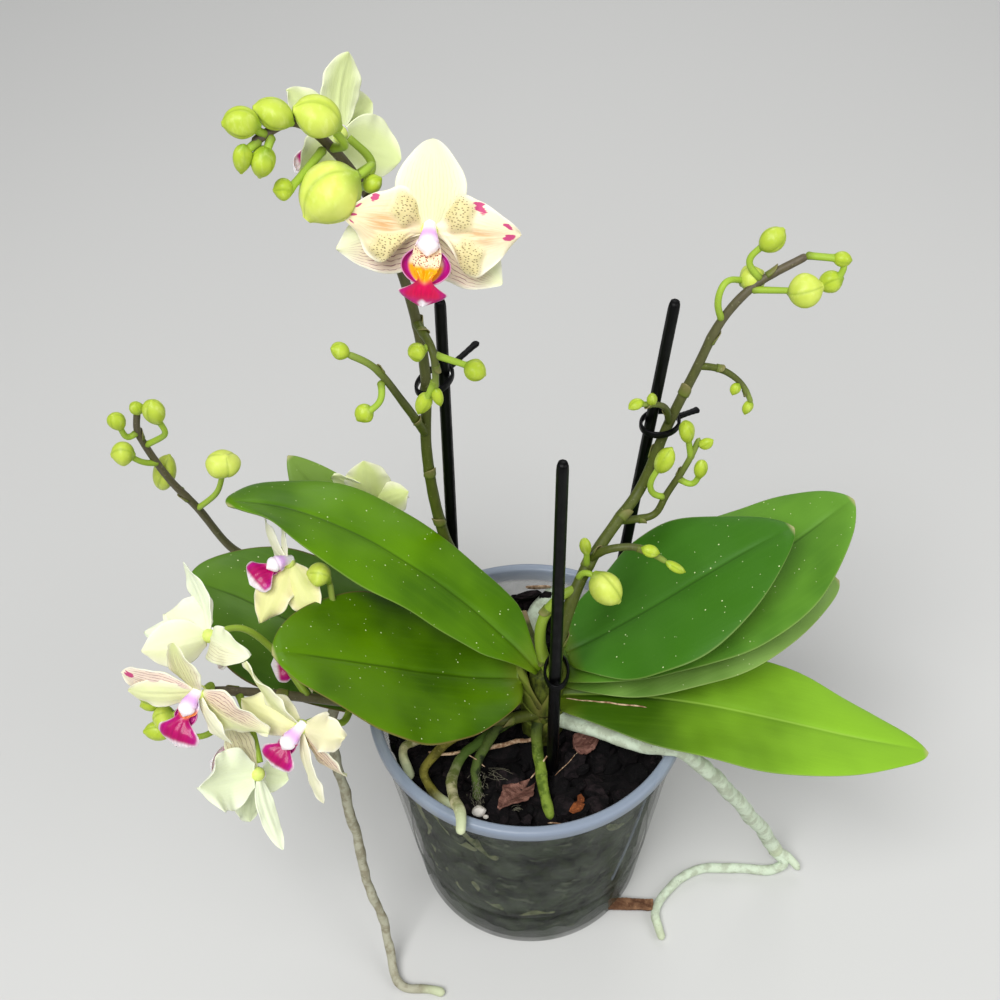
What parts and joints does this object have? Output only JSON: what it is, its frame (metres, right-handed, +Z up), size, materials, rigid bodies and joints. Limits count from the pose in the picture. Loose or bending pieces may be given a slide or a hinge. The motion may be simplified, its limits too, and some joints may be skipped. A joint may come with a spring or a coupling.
{
  "type": "potted peloric moth orchid",
  "caption": "Miniature moth orchid with peloric blooms, broad leaves, aerial roots and staked flower spikes in a translucent nursery pot.",
  "frame": {"origin": "centre of the pot's flat underside", "axes": "+Z up along the pot's axis, -Y towards the viewer's side with the right leaves towards +X"},
  "size_m": [0.2825, 0.1513, 0.3616],
  "materials": {
    "frosted_plastic": "frosted translucent polypropylene",
    "black_plastic": "moulded black plastic",
    "leaf": "waxy green leaf",
    "stem": "olive green flower stem with yellow-green buds",
    "crown": "green stem stub",
    "petal": "cream petal",
    "lip": "magenta lip",
    "aerial_root": "dry grey-green root skin",
    "green_root": "green and yellow root skin",
    "bark": "damp dark conifer bark",
    "red_bark": "dry red-brown bark"
  },
  "bodies": {
    "root": {"bark_chip": "red_bark", "bark_flake": "red_bark", "bark_sliver": "red_bark", "bloom_behind_leaf": "petal", "bloom_cluster_back": "petal", "bloom_cluster_front": "petal", "bloom_cluster_low": "petal", "bloom_cluster_right": "petal", "bloom_front": "petal", "bloom_hidden": "petal", "bloom_top": "petal", "bloom_under_leaf": "petal", "clip_front": "black_plastic", "clip_left": "black_plastic", "clip_right": "black_plastic", "leaf_left_back": "leaf", "leaf_left_front": "leaf", "leaf_left_tip": "leaf", "leaf_left_upper": "leaf", "leaf_right_front": "leaf", "leaf_right_lower": "leaf", "leaf_right_middle": "leaf", "leaf_right_upper": "leaf", "lip_behind_leaf": "lip", "lip_cluster_back": "lip", "lip_cluster_front": "lip", "lip_cluster_low": "lip", "lip_cluster_right": "lip", "lip_front": "lip", "lip_hidden": "lip", "lip_top": "lip", "lip_under_leaf": "lip", "pot": "frosted_plastic", "potting_bark": "bark", "root_aerial_left": "aerial_root", "root_aerial_right": "aerial_root", "root_pot_middle": "green_root", "root_pot_mossy": "green_root", "root_pot_over_rim": "green_root", "root_pot_pale": "green_root", "root_pot_yellow": "green_root", "spike_left": "stem", "spike_low": "stem", "spike_right": "stem", "spike_tall": "stem", "stake_front": "black_plastic", "stake_left": "black_plastic", "stake_right": "black_plastic", "stem_crown": "crown"}
  },
  "joints": []
}
